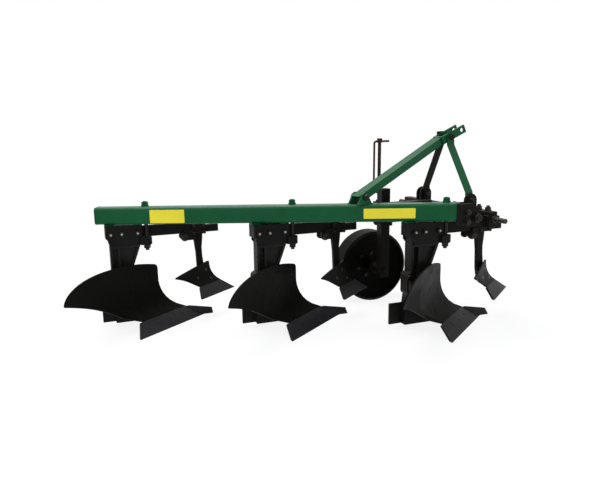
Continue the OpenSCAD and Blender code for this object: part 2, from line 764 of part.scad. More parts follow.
module wheel_post() {
    half = post_size / 2;
    nut_r = screw_d / 2 + 8;
    color(bar_black) placed() translate([wheel_x, post_y, 0]) difference() {
        union() {
            block([-half, -half, wheel_r - 45], [half, half, post_top]);
            block([-nut_r, half, nut_z], [nut_r, screw_y - post_y, nut_z + 28]);
            translate([0, screw_y - post_y, nut_z]) cylinder(r = nut_r, h = 28);
        }
        block([-half + tube_wall, -half + tube_wall, wheel_r - 46],
              [half - tube_wall, half - tube_wall, post_top - tube_wall]);
        translate([0, screw_y - post_y, nut_z - 1]) cylinder(d = screw_d + 1, h = 30);
        cross_rod(0, wheel_r, spindle_d + 2 * running_gap, -half - 1, half + 1);
    }
}

module wheel_axle() {
    hub_in = wheel_y - 65;
    color(steel) placed() {
        cross_rod(wheel_x, wheel_r, spindle_d, post_y - post_size / 2 - 8, hub_in - 12);
        cross_rod(wheel_x, wheel_r, spindle_d + 20, post_y + post_size / 2, hub_in - 12);
        cross_rod(wheel_x, wheel_r, spindle_d + 34, hub_in - 13, hub_in - 1);
        cross_rod(wheel_x, wheel_r, spindle_d, hub_in - 2, spindle_end + 14);
        cross_rod(wheel_x, wheel_r, spindle_d + 22, spindle_end, spindle_end + 8);
    }
}

// Pressed steel wheel: rolled rim with turned-in lips, dished disc and hub
module wheel() {
    half = wheel_w / 2;
    p = wheel_plate;
    hub_r = spindle_d / 2 + 14;
    hub_half = 65;
    lip = 16;
    color(tool_black) placed() translate([wheel_x, wheel_y, wheel_r]) rotate([-90, 0, 0])
        rotate_extrude($fn = 96) {
            polygon([[wheel_r - p, -half + lip], [wheel_r - lip - p, -half + p], [wheel_r - lip - p, -half],
                     [wheel_r - lip, -half], [wheel_r, -half + lip], [wheel_r, half - lip],
                     [wheel_r - lip, half], [wheel_r - lip - p, half], [wheel_r - lip - p, half - p],
                     [wheel_r - p, half - lip]]);
            polygon([[hub_r - 1, -p / 2 + 30], [wheel_r * 0.62, -p / 2 + 18], [wheel_r - p + 1, -p / 2 - 20],
                     [wheel_r - p + 1, p / 2 - 20], [wheel_r * 0.62, p / 2 + 18], [hub_r - 1, p / 2 + 30]]);
            translate([spindle_d / 2 + running_gap, -hub_half]) square([hub_r - spindle_d / 2 - running_gap, 2 * hub_half]);
        }
}

main_beam();
beam_pads();
beam_head();
left_rail();
front_crossbar();
crossbar_ears();
lower_pin_left();
lower_pin_right();
mast_leg_left();
mast_leg_right();
mast_head();
mast_brace();
brace_foot();
mast_pins();
body_bracket(0);  // body_bracket_1
body_bracket(1);  // body_bracket_2
body_bracket(2);  // body_bracket_3
draw_studs();
stand(0);  // stand_1
stand(1);  // stand_2
stand(2);  // stand_3
frog(0);  // frog_1
frog(1);  // frog_2
frog(2);  // frog_3
mouldboard(0);  // mouldboard_1
mouldboard(1);  // mouldboard_2
mouldboard(2);  // mouldboard_3
share(0);  // share_1
share(1);  // share_2
share(2);  // share_3
landside(0);  // landside_1
landside(1);  // landside_2
landside(2);  // landside_3
wing_braces();
skimmer_bar(0);  // skimmer_bar_1
skimmer_bar(1);  // skimmer_bar_2
skimmer_bar(2);  // skimmer_bar_3
skimmer_clamps();
skimmer_stem(0);  // skimmer_stem_1
skimmer_stem(1);  // skimmer_stem_2
skimmer_stem(2);  // skimmer_stem_3
skimmer_board(0);  // skimmer_board_1
skimmer_board(1);  // skimmer_board_2
skimmer_board(2);  // skimmer_board_3
skimmer_share(0);  // skimmer_share_1
skimmer_share(1);  // skimmer_share_2
skimmer_share(2);  // skimmer_share_3
wheel_bracket();
depth_screw();
crank_handle();
wheel_post();
wheel_axle();
wheel();
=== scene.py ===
import math

import bmesh
import bpy
from mathutils import Matrix, Vector
from mathutils.bvhtree import BVHTree


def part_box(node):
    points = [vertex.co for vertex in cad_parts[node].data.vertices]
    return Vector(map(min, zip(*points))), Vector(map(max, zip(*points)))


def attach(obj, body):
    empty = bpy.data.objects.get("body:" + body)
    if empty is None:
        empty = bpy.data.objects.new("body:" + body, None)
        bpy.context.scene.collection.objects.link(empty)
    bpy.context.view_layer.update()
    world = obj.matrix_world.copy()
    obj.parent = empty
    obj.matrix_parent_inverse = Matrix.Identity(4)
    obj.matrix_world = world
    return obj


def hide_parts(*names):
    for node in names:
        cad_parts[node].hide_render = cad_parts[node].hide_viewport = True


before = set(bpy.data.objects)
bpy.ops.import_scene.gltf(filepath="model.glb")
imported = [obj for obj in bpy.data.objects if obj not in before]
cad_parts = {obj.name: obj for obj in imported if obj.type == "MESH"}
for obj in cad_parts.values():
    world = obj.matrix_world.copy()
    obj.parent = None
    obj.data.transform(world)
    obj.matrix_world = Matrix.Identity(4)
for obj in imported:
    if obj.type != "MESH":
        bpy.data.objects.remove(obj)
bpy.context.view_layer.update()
scene = bpy.context.scene
scene.view_settings.view_transform = "Standard"

# Studio and camera: a white paper floor in a white room, two soft lamps, and a camera at the right rear.
# Places are given in a furrow frame in millimetres: x forward, y to the left and z up from the ground.
# Its zero is the front share's point, just behind its raised nose, in the plane of the landside's left face.
MM_IN_M = 1000
NOSE_AHEAD = 0.018
furrow_zero = Vector((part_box("share_1")[1].x - NOSE_AHEAD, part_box("landside_1")[1].y, 0))
BODY_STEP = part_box("stand_2")[0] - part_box("stand_1")[0]
BODIES = range(3)


def in_furrow(x, y, z, body=0):
    return furrow_zero + BODY_STEP * body + Vector((x, y, z)) / MM_IN_M


def turned(x_way, y_way, z_way):
    return Matrix((x_way, y_way, z_way)).transposed().to_4x4()


# The camera was fitted to the photograph: focus and aim are in its pixels, the eye is in the furrow frame
PICTURE_W, PICTURE_H = 599, 500
FOCUS, AIM_X, AIM_Y = 571.9, 259.2, 240.9
SENSOR_W = 36
EYE_X, EYE_Y, EYE_Z = -2409, -2846, 1173
SIGHT, ACROSS = (0.307, 0.932, -0.191), (0.948, -0.317, -0.025)
camera_data = bpy.data.cameras.new("camera")
camera = bpy.data.objects.new("camera", camera_data)
scene.collection.objects.link(camera)
camera_data.sensor_width = SENSOR_W
camera_data.lens = FOCUS * SENSOR_W / PICTURE_W
camera_data.shift_x = (PICTURE_W / 2 - AIM_X) / PICTURE_W
camera_data.shift_y = (AIM_Y - PICTURE_H / 2) / PICTURE_W
sight = Vector(SIGHT).normalized()
across = Vector(ACROSS)
across = (across - sight * across.dot(sight)).normalized()
upward = across.cross(sight)
camera.matrix_world = Matrix.Translation(in_furrow(EYE_X, EYE_Y, EYE_Z)) @ turned(across, upward, -sight)
scene.camera = camera


def seen_plainly(nodes, links):
    ray = nodes.new("ShaderNodeLightPath")
    seen = ray.outputs["Is Camera Ray"]
    for kind in ("Is Glossy Ray", "Is Transmission Ray"):
        either = nodes.new("ShaderNodeMath")
        either.use_clamp = True
        links.new(seen, either.inputs[0])
        links.new(ray.outputs[kind], either.inputs[1])
        seen = either.outputs["Value"]
    return seen


ROOM_TINT, ROOM_STRENGTH = (0.97, 0.985, 1.0, 1), 0.80
WHITE, FULL_STRENGTH = (1, 1, 1, 1), 1.0
world = bpy.data.worlds.new("studio")
scene.world = world
world.use_nodes = True
sky = world.node_tree.nodes
sky_links = world.node_tree.links
sky.clear()
sky_out = sky.new("ShaderNodeOutputWorld")
room_light = sky.new("ShaderNodeBackground")
room_light.inputs["Color"].default_value = ROOM_TINT
room_light.inputs["Strength"].default_value = ROOM_STRENGTH
backdrop = sky.new("ShaderNodeBackground")
backdrop.inputs["Color"].default_value = WHITE
backdrop.inputs["Strength"].default_value = FULL_STRENGTH
pick = sky.new("ShaderNodeMixShader")
sky_links.new(seen_plainly(sky, sky_links), pick.inputs["Fac"])
sky_links.new(room_light.outputs["Background"], pick.inputs[1])
sky_links.new(backdrop.outputs["Background"], pick.inputs[2])
sky_links.new(pick.outputs["Shader"], sky_out.inputs["Surface"])

LAMP_TARGET = Vector((0, 0, 0.4))


def soft_lamp(name, place, size, power):
    data = bpy.data.lights.new(name, "AREA")
    data.shape = "DISK"
    data.size = size
    data.energy = power
    lamp = bpy.data.objects.new(name, data)
    lamp.location = place
    lamp.rotation_mode = "QUATERNION"
    lamp.rotation_quaternion = (LAMP_TARGET - Vector(place)).to_track_quat("-Z", "Y")
    scene.collection.objects.link(lamp)


soft_lamp("overhead", place=(-0.4, 1.0, 4.2), size=3.0, power=150)
soft_lamp("viewer_side", place=(-3.2, -4.0, 2.8), size=2.6, power=18)

# The paper shows its soft shade under the plough and turns to plain white further out
FLOOR_REACH = 60
PAPER_LOOK = {"Base Color": (0.93, 0.93, 0.93, 1), "Roughness": 0.9, "Specular IOR Level": 0.0}
PAPER_FADE = {"From Min": 1.2, "From Max": 4.0, "To Min": 0.86, "To Max": 1.0}
floor_form = bmesh.new()
bmesh.ops.create_grid(floor_form, x_segments=1, y_segments=1, size=FLOOR_REACH)
floor_mesh = bpy.data.meshes.new("floor")
floor_form.to_mesh(floor_mesh)
floor_form.free()
floor = bpy.data.objects.new("floor", floor_mesh)
scene.collection.objects.link(floor)
floor_paper = bpy.data.materials.new("floor_paper")
floor_paper.use_nodes = True
paper = floor_paper.node_tree.nodes
paper_links = floor_paper.node_tree.links
paper_shader = paper["Principled BSDF"]
for label, value in PAPER_LOOK.items():
    paper_shader.inputs[label].default_value = value
white_paper = paper.new("ShaderNodeEmission")
white_paper.inputs["Color"].default_value = WHITE
paper_place = paper.new("ShaderNodeTexCoord")
paper_reach = paper.new("ShaderNodeVectorMath")
paper_reach.operation = "LENGTH"
paper_fade = paper.new("ShaderNodeMapRange")
for label, value in PAPER_FADE.items():
    paper_fade.inputs[label].default_value = value
paper_share = paper.new("ShaderNodeMath")
paper_share.operation = "MULTIPLY"
paper_mix = paper.new("ShaderNodeMixShader")
paper_links.new(paper_place.outputs["Object"], paper_reach.inputs[0])
paper_links.new(paper_reach.outputs["Value"], paper_fade.inputs["Value"])
paper_links.new(seen_plainly(paper, paper_links), paper_share.inputs[0])
paper_links.new(paper_fade.outputs["Result"], paper_share.inputs[1])
paper_links.new(paper_share.outputs["Value"], paper_mix.inputs["Fac"])
paper_links.new(paper_shader.outputs["BSDF"], paper_mix.inputs[1])
paper_links.new(white_paper.outputs["Emission"], paper_mix.inputs[2])
paper_links.new(paper_mix.outputs["Shader"], paper["Material Output"].inputs["Surface"])
floor_mesh.materials.append(floor_paper)

# Main beam: a slanted square steel tube with a welded rear cap, sprayed green over grey-green primer.
# A factory coat: even, with a fine orange peel, a few scuffs, dust on top and edges rubbed to primer.
GREEN, GREEN_CLOUD, PRIMER = (0.0010, 0.065, 0.0205), (0.0022, 0.080, 0.0280), (0.035, 0.066, 0.048)


def effect_group(name, inputs, outputs):
    group = bpy.data.node_groups.new(name, "ShaderNodeTree")
    for label, value in inputs:
        socket = group.interface.new_socket(label, in_out="INPUT", socket_type="NodeSocketFloat")
        socket.default_value = value
    for label, kind in outputs:
        group.interface.new_socket(label, in_out="OUTPUT", socket_type=kind)
    return group, group.nodes.new("NodeGroupInput"), group.nodes.new("NodeGroupOutput")


def noise_in(group, place, detail, rough=0.5):
    noise = group.nodes.new("ShaderNodeTexNoise")
    noise.inputs["Detail"].default_value = detail
    noise.inputs["Roughness"].default_value = rough
    group.links.new(place, noise.inputs["Vector"])
    return noise


def band_in(group, value, none_at, full_at):
    band = group.nodes.new("ShaderNodeMapRange")
    band.inputs["From Min"].default_value = none_at
    band.inputs["From Max"].default_value = full_at
    group.links.new(value, band.inputs["Value"])
    return band.outputs["Result"]


def times_in(group, first, second):
    product = group.nodes.new("ShaderNodeMath")
    product.operation = "MULTIPLY"
    group.links.new(first, product.inputs[0])
    group.links.new(second, product.inputs[1])
    return product.outputs["Value"]


# Edges: a small radius on the sharp corners, and a broken mask where paint rubs off first
EDGE_SAMPLES = 8
edges, edges_in, edges_out = effect_group(
    "worn_edges",
    (("Radius", 0.003), ("Breakup", 34.0)),
    (("Normal", "NodeSocketVector"), ("Mask", "NodeSocketFloat")),
)
round_over = edges.nodes.new("ShaderNodeBevel")
round_over.samples = EDGE_SAMPLES
flat_face = edges.nodes.new("ShaderNodeNewGeometry")
agree = edges.nodes.new("ShaderNodeVectorMath")
agree.operation = "DOT_PRODUCT"
edge_place = edges.nodes.new("ShaderNodeTexCoord")
edge_noise = noise_in(edges, edge_place.outputs["Object"], detail=6, rough=0.62)
edges.links.new(edges_in.outputs["Radius"], round_over.inputs["Radius"])
edges.links.new(edges_in.outputs["Breakup"], edge_noise.inputs["Scale"])
edges.links.new(round_over.outputs["Normal"], agree.inputs[0])
edges.links.new(flat_face.outputs["Normal"], agree.inputs[1])
edge_mask = times_in(
    edges,
    band_in(edges, agree.outputs["Value"], none_at=0.97, full_at=0.80),
    band_in(edges, edge_noise.outputs["Fac"], none_at=0.50, full_at=0.64),
)
edges.links.new(edge_mask, edges_out.inputs["Mask"])
edges.links.new(round_over.outputs["Normal"], edges_out.inputs["Normal"])

# Coat: broad cloudiness, fine peel, coarse sand-cast skin and long scuffs
SCUFF_STRETCH, SCUFF_TURN = (12, 12, 95), (0.5, 0.3, 0.4)
coat, coat_in, coat_out = effect_group(
    "sprayed_coat",
    (("Cloud Scale", 4.0), ("Peel Scale", 420.0), ("Skin Scale", 130.0)),
    tuple((label, "NodeSocketFloat") for label in ("Cloud", "Peel", "Skin", "Scuff")),
)
coat_place = coat.nodes.new("ShaderNodeTexCoord")
cloud = noise_in(coat, coat_place.outputs["Object"], detail=6, rough=0.6)
peel = noise_in(coat, coat_place.outputs["Object"], detail=2)
skin = noise_in(coat, coat_place.outputs["Object"], detail=4, rough=0.6)
scuff_run = coat.nodes.new("ShaderNodeMapping")
scuff_run.inputs["Scale"].default_value = SCUFF_STRETCH
scuff_run.inputs["Rotation"].default_value = SCUFF_TURN
coat.links.new(coat_place.outputs["Object"], scuff_run.inputs["Vector"])
scuff = noise_in(coat, scuff_run.outputs["Vector"], detail=5, rough=0.6)
for noise, label in ((cloud, "Cloud Scale"), (peel, "Peel Scale"), (skin, "Skin Scale")):
    coat.links.new(coat_in.outputs[label], noise.inputs["Scale"])
cloud_mask = band_in(coat, cloud.outputs["Fac"], none_at=0.32, full_at=0.68)
scuff_mask = band_in(coat, scuff.outputs["Fac"], none_at=0.64, full_at=0.74)
coat.links.new(cloud_mask, coat_out.inputs["Cloud"])
coat.links.new(peel.outputs["Fac"], coat_out.inputs["Peel"])
coat.links.new(skin.outputs["Fac"], coat_out.inputs["Skin"])
coat.links.new(scuff_mask, coat_out.inputs["Scuff"])

# Dust: what settles on faces that look up
dust, dust_in, dust_out = effect_group(
    "settled_dust", (("Amount", 0.5), ("Scale", 14.0)), (("Mask", "NodeSocketFloat"),)
)
dust_place = dust.nodes.new("ShaderNodeTexCoord")
dust_face = dust.nodes.new("ShaderNodeNewGeometry")
dust_up = dust.nodes.new("ShaderNodeSeparateXYZ")
dust_noise = noise_in(dust, dust_place.outputs["Object"], detail=7, rough=0.65)
dust.links.new(dust_in.outputs["Scale"], dust_noise.inputs["Scale"])
dust.links.new(dust_face.outputs["Normal"], dust_up.inputs["Vector"])
dust_lay = times_in(
    dust,
    band_in(dust, dust_up.outputs["Z"], none_at=0.30, full_at=0.98),
    band_in(dust, dust_noise.outputs["Fac"], none_at=0.30, full_at=0.80),
)
dust.links.new(times_in(dust, dust_lay, dust_in.outputs["Amount"]), dust_out.inputs["Mask"])

CLEAR_ROUGH, SCUFF_SHARE, DUST_COLOUR = 0.16, 0.20, (0.24, 0.21, 0.17)
LESS_ROUGH, MORE_ROUGH = 0.07, 0.12
PEEL_HEIGHT, SKIN_HEIGHT = 0.0006, 0.003


def painted(
    name, colour, clouded, worn, rough, radius=0.003, wear=0.5, dusting=0.2, metal=0.0, peel_depth=0.10,
    skin_depth=0.0, gloss=0.18, clear=0.0,
):
    material = bpy.data.materials.new(name)
    material.use_nodes = True
    nodes = material.node_tree.nodes
    links = material.node_tree.links
    shader = nodes["Principled BSDF"]
    shader.inputs["Metallic"].default_value = metal
    shader.inputs["Specular IOR Level"].default_value = gloss
    shader.inputs["Coat Weight"].default_value = clear
    shader.inputs["Coat Roughness"].default_value = CLEAR_ROUGH

    def placed(group):
        node = nodes.new("ShaderNodeGroup")
        node.node_tree = group
        return node

    def laid_over(under, over_colour, mask, strength):
        scaled = nodes.new("ShaderNodeMath")
        scaled.operation = "MULTIPLY"
        scaled.inputs[1].default_value = strength
        links.new(mask, scaled.inputs[0])
        mix = nodes.new("ShaderNodeMix")
        mix.data_type = "RGBA"
        links.new(scaled.outputs["Value"], mix.inputs["Factor"])
        if isinstance(under, tuple):
            mix.inputs["A"].default_value = (*under, 1)
        else:
            links.new(under, mix.inputs["A"])
        mix.inputs["B"].default_value = (*over_colour, 1)
        return mix.outputs["Result"]

    def bumped(height, strength, distance, under):
        bump = nodes.new("ShaderNodeBump")
        bump.inputs["Strength"].default_value = strength
        bump.inputs["Distance"].default_value = distance
        links.new(height, bump.inputs["Height"])
        links.new(under, bump.inputs["Normal"])
        return bump.outputs["Normal"]

    rubbed = placed(edges)
    rubbed.inputs["Radius"].default_value = radius
    sprayed = placed(coat)
    dusted = placed(dust)
    dusted.inputs["Amount"].default_value = dusting
    base = laid_over(colour, clouded, sprayed.outputs["Cloud"], 1.0)
    base = laid_over(base, worn, sprayed.outputs["Scuff"], SCUFF_SHARE * wear)
    base = laid_over(base, worn, rubbed.outputs["Mask"], wear)
    base = laid_over(base, DUST_COLOUR, dusted.outputs["Mask"], 1.0)
    links.new(base, shader.inputs["Base Color"])
    dulled = nodes.new("ShaderNodeMapRange")
    dulled.inputs["To Min"].default_value = rough - LESS_ROUGH
    dulled.inputs["To Max"].default_value = rough + MORE_ROUGH
    links.new(sprayed.outputs["Cloud"], dulled.inputs["Value"])
    links.new(dulled.outputs["Result"], shader.inputs["Roughness"])
    relief = bumped(sprayed.outputs["Peel"], peel_depth, PEEL_HEIGHT, rubbed.outputs["Normal"])
    if skin_depth:
        relief = bumped(sprayed.outputs["Skin"], skin_depth, SKIN_HEIGHT, relief)
    links.new(relief, shader.inputs["Normal"])
    return material


def dress(material, *nodes):
    for name in nodes:
        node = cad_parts[name]
        node.data.materials.clear()
        node.data.materials.append(material)


green_paint = painted(
    "green_paint", colour=GREEN, clouded=GREEN_CLOUD, worn=PRIMER, rough=0.34, dusting=0.16, gloss=0.11,
    clear=0.05,
)
dress(green_paint, "beam_pads")


def settle(name, form, body, material, smooth_below=35.0):
    bmesh.ops.recalc_face_normals(form, faces=form.faces)
    for face in form.faces:
        face.smooth = True
    for edge in form.edges:
        edge.smooth = len(edge.link_faces) == 2 and edge.calc_face_angle(0) < math.radians(smooth_below)
    mesh = bpy.data.meshes.new(name)
    form.to_mesh(mesh)
    form.free()
    piece = bpy.data.objects.new(name, mesh)
    scene.collection.objects.link(piece)
    mesh.materials.append(material)
    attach(piece, body)
    return piece


def block(form, middle, lay, size):
    made = bmesh.ops.create_cube(
        form, size=1, matrix=Matrix.Translation(middle) @ lay @ Matrix.Diagonal((*size, 1))
    )
    return made["verts"]


def edges_along(form, way, least):
    return [edge for edge in form.edges if abs((edge.verts[0].co - edge.verts[1].co).dot(way)) > least]


def ease_edges(form, sharp, offset, segments):
    bmesh.ops.bevel(
        form, geom=sharp, offset=offset, offset_type="OFFSET", segments=segments, profile=0.5,
        affect="EDGES", material=-1,
    )


# The beam's lengths are taken from its middle over the front body, along its own slant
BEAM_WAY = -BODY_STEP.normalized()
BEAM_OUT = Vector((BEAM_WAY.y, -BEAM_WAY.x, 0))
UP = Vector((0, 0, 1))
BEAM_X, BEAM_Y, BEAM_Z = -535, -100, 695
BEAM_HALF, BEAM_CORNER = 0.050, 0.020
BEAM_AHEAD, REAR_OVERHANG = 0.182, 0.142
beam_middle = in_furrow(BEAM_X, BEAM_Y, BEAM_Z)
beam_behind = 2 * BODY_STEP.length + REAR_OVERHANG
form = bmesh.new()
block(
    form,
    middle=beam_middle + BEAM_WAY * (BEAM_AHEAD - beam_behind) / 2,
    lay=turned(BEAM_WAY, -BEAM_OUT, UP),
    size=(BEAM_AHEAD + beam_behind, 2 * BEAM_HALF, 2 * BEAM_HALF),
)
ease_edges(form, edges_along(form, BEAM_WAY, least=BEAM_AHEAD), BEAM_CORNER, segments=8)
beam_skin = settle("beam_skin", form, "plough_frame", green_paint)
even_shading = beam_skin.modifiers.new("even_shading", "WEIGHTED_NORMAL")
even_shading.keep_sharp = True
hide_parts("main_beam")


def stand_up(place, axis):
    return Matrix.Translation(place) @ Vector(axis).to_track_quat("Z", "Y").to_matrix().to_4x4()


def round_bar(form, start, end, radius, segments=20, end_radius=None):
    run = end - start
    made = bmesh.ops.create_cone(
        form, cap_ends=True, segments=segments, radius1=radius,
        radius2=radius if end_radius is None else end_radius, depth=run.length,
        matrix=stand_up((start + end) / 2, run),
    )
    return made["verts"]


# A weld bead is a row of overlapping flattened ripples
RIPPLE_STEP, RIPPLE_SHAPE, FEWEST_RIPPLES = 1.5, (1.15, 1.0, 0.75, 1), 3
FINE_WELD, HEAVY_WELD = 0.003, 0.004


def weld_bead(form, start, end, radius):
    run = end - start
    ripples = max(FEWEST_RIPPLES, int(run.length / (radius * RIPPLE_STEP)))
    lay = run.to_track_quat("X", "Z").to_matrix().to_4x4() @ Matrix.Diagonal(RIPPLE_SHAPE)
    for step in range(ripples):
        middle = start + run * (step + 0.5) / ripples
        bmesh.ops.create_uvsphere(
            form, u_segments=8, v_segments=6, radius=radius, matrix=Matrix.Translation(middle) @ lay
        )


def weld_across(form, middle, way, half, radius):
    weld_bead(form, middle - way * half, middle + way * half, radius)


def furrow_weld(form, start, end, radius, body=0):
    weld_bead(form, in_furrow(*start, body), in_furrow(*end, body), radius)


# Each pad under the beam: the middle's x and y, the length and the width
PADS = ((-605, -80, 54, 60), (-446, -126, 44, 28))
PAD_SEAM_Z = 644
CAP_SEAM_IN, CAP_SEAM_HALF, WELD_SINK = 0.008, 0.038, 0.001
cap_seam = beam_middle - BEAM_WAY * beam_behind + BEAM_WAY * CAP_SEAM_IN
form = bmesh.new()
for turn in range(4):
    side_way = Matrix.Rotation(math.pi / 2 * turn, 3, BEAM_WAY) @ BEAM_OUT
    seam = cap_seam + side_way * (BEAM_HALF - WELD_SINK)
    weld_across(form, seam, side_way.cross(BEAM_WAY), CAP_SEAM_HALF, FINE_WELD)
for body in BODIES:
    for pad_x, pad_y, pad_l, pad_w in PADS:
        for seam_y in (pad_y - pad_w / 2, pad_y + pad_w / 2):
            seam_rear = (pad_x - pad_l / 2, seam_y, PAD_SEAM_Z)
            seam_front = (pad_x + pad_l / 2, seam_y, PAD_SEAM_Z)
            furrow_weld(form, seam_rear, seam_front, FINE_WELD, body)
settle("beam_welds", form, "plough_frame", green_paint)

# Blank plates: two thin plain yellow sheets stuck to the beam's right face.
# Each is cut from sheet with slightly rounded corners; the enamel has gone a little matt.
yellow_enamel = painted(
    "yellow_enamel", colour=(0.70, 0.61, 0.024), clouded=(0.76, 0.67, 0.032), worn=(0.58, 0.50, 0.13),
    rough=0.40, radius=0.0006, wear=0.25, dusting=0.05, gloss=0.3,
)
PLATE_T, PLATE_CORNER = 0.0012, 0.004
# Each plate: its name, its rear and front end along the beam, and its lower and upper edge
PLATES = (
    ("blank_plate_rear", -1.555, -1.351, 0.653, 0.731),
    ("blank_plate_front", -0.328, -0.043, 0.666, 0.723),
)
for plate_name, rear, front, low, high in PLATES:
    form = bmesh.new()
    centre = beam_middle + BEAM_WAY * (rear + front) / 2 + BEAM_OUT * (BEAM_HALF + PLATE_T / 2)
    centre.z = (low + high) / 2
    block(form, centre, turned(BEAM_WAY, UP, BEAM_OUT), size=(front - rear, high - low, PLATE_T))
    ease_edges(form, edges_along(form, BEAM_OUT, least=PLATE_T / 2), PLATE_CORNER, segments=4)
    settle(plate_name, form, "plough_frame", yellow_enamel)

# Mast: a green channel brace, clevis and right leg, all flat bar and bent plate; the left leg is painted
# black as painted shade, for the shade it stands in.
# Bolts through the ears hold the legs; blackened heads and nuts show on both sides.
BLACK, BLACK_CLOUD, BROWNED = (0.0042, 0.0037, 0.0034), (0.0085, 0.0072, 0.0062), (0.050, 0.038, 0.030)
green_bar = painted(
    "green_bar", colour=GREEN, clouded=GREEN_CLOUD, worn=PRIMER, rough=0.36, radius=0.0012, dusting=0.16,
    gloss=0.12, clear=0.06,
)
black_plate_and_painted_shade = painted(
    "black_plate_and_painted_shade", colour=BLACK, clouded=BLACK_CLOUD, worn=BROWNED, rough=0.42, radius=0.002, wear=0.7,
    dusting=0.10, gloss=0.08,
)
bolt_black = painted(
    "bolt_black", colour=(0.010, 0.0095, 0.009), clouded=(0.020, 0.018, 0.016), worn=(0.16, 0.15, 0.13),
    rough=0.34, radius=0.0008, wear=0.8, metal=0.5, dusting=0.06, gloss=0.25,
)
dress(green_bar, "mast_brace", "mast_head", "brace_foot", "mast_leg_right")
# The left leg's black is painted shade: that leg stands in shade where the right leg is lit; the ears are
# black for real
dress(black_plate_and_painted_shade, "mast_leg_left", "crossbar_ears")
dress(bolt_black, "mast_pins")

HEAD_SIDES, HEAD_CHAMFER = 6, 0.16
WASHER_SIDES = 28
THREAD_STRAIGHT, THREAD_TIP = 0.85, 0.42


def hex_head(form, place, axis, width, height, washer=0.0, washer_t=0.003):
    axis = Vector(axis).normalized()
    if washer:
        round_bar(form, place, place + axis * washer_t, washer / 2, WASHER_SIDES)
        place = place + axis * washer_t
    verts = round_bar(form, place, place + axis * height, width / math.sqrt(3), HEAD_SIDES)
    top = {
        edge for vert in verts for edge in vert.link_edges
        if all((end.co - place).dot(axis) > height / 2 for end in edge.verts)
    }
    ease_edges(form, list(top), height * HEAD_CHAMFER, segments=2)


def thread_end(form, place, axis, diameter, length):
    axis = Vector(axis).normalized()
    shoulder = place + axis * length * THREAD_STRAIGHT
    round_bar(form, place, shoulder, diameter / 2)
    round_bar(form, shoulder, place + axis * length, diameter / 2, end_radius=diameter * THREAD_TIP)


MAST_HEAD = {"width": 0.030, "height": 0.013, "washer": 0.037}
MAST_NUT = {**MAST_HEAD, "height": 0.016}
FOOT_HEAD = {**MAST_HEAD, "height": 0.014}
MAST_Y, APEX_X, APEX_Z, APEX_HALF = 185, -186.6, 1100.9, 56
EAR_X, EAR_Z, EAR_STEP, EAR_HALF, LEG_IN = -162, 730, 226, 6, 18
BRACE_X, BRACE_Z = -236.7, 1078.3
FOOT_Z, FOOT_BACK, FOOT_HALF = 785, 0.345, 0.0443
ear_right, ear_left = MAST_Y - EAR_STEP, MAST_Y + EAR_STEP
form = bmesh.new()
for side, ear_y in ((-1, ear_right), (1, ear_left)):
    hex_head(form, in_furrow(APEX_X, MAST_Y + side * APEX_HALF, APEX_Z), (0, side, 0), **MAST_HEAD)
    hex_head(form, in_furrow(EAR_X, ear_y + side * EAR_HALF, EAR_Z), (0, side, 0), **MAST_HEAD)
    hex_head(form, in_furrow(EAR_X, ear_y - side * LEG_IN, EAR_Z), (0, -side, 0), **MAST_NUT)
brace_foot = in_furrow(BEAM_X, BEAM_Y, FOOT_Z) - BEAM_WAY * FOOT_BACK
brace_head = in_furrow(BRACE_X, MAST_Y, BRACE_Z)
brace_way = (brace_head - brace_foot).normalized()
brace_side = brace_way.cross(UP).normalized()
for side in (-1, 1):
    hex_head(form, brace_foot + brace_side * side * FOOT_HALF, brace_side * side, **FOOT_HEAD)
settle("mast_bolts", form, "plough_frame", bolt_black)

BRACE_FLANK, BRACE_BACK, WELD_BACK = 0.031, 0.0225, 0.002
FLANK_SEAM_HALF, BACK_SEAM_HALF = 0.020, 0.028
FOOT_FLANK, FOOT_SEAM_Z, FOOT_SEAM_HALF = 0.0445, 0.746, 0.058
brace_top = brace_side.cross(brace_way)
brace_end = brace_head - brace_way * WELD_BACK
level_way = Vector((brace_way.x, brace_way.y, 0)).normalized()
form = bmesh.new()
for side in (-1, 1):
    weld_across(form, brace_end + brace_side * side * BRACE_FLANK, brace_top, FLANK_SEAM_HALF, FINE_WELD)
    foot_seam = brace_foot + brace_side * side * FOOT_FLANK
    foot_seam.z = FOOT_SEAM_Z
    weld_across(form, foot_seam, level_way, FOOT_SEAM_HALF, HEAVY_WELD)
weld_across(form, brace_end + brace_top * BRACE_BACK, brace_side, BACK_SEAM_HALF, FINE_WELD)
settle("mast_welds", form, "plough_frame", green_bar)

# Hitch: a black box crossbar and left rail of welded tube, and a cut-plate fork bolted to the beam's end.
# A flat stiffener, cut away at the ears, is welded along the crossbar's top.
# A turned pin stands out at each end for a lower link.
oiled_steel = painted(
    "oiled_steel", colour=(0.026, 0.024, 0.023), clouded=(0.048, 0.042, 0.038), worn=(0.15, 0.13, 0.11),
    rough=0.38, radius=0.001, metal=0.6, dusting=0.05, gloss=0.3,
)
dress(black_plate_and_painted_shade, "front_crossbar", "left_rail", "beam_head")
dress(oiled_steel, "lower_pin_left", "lower_pin_right")

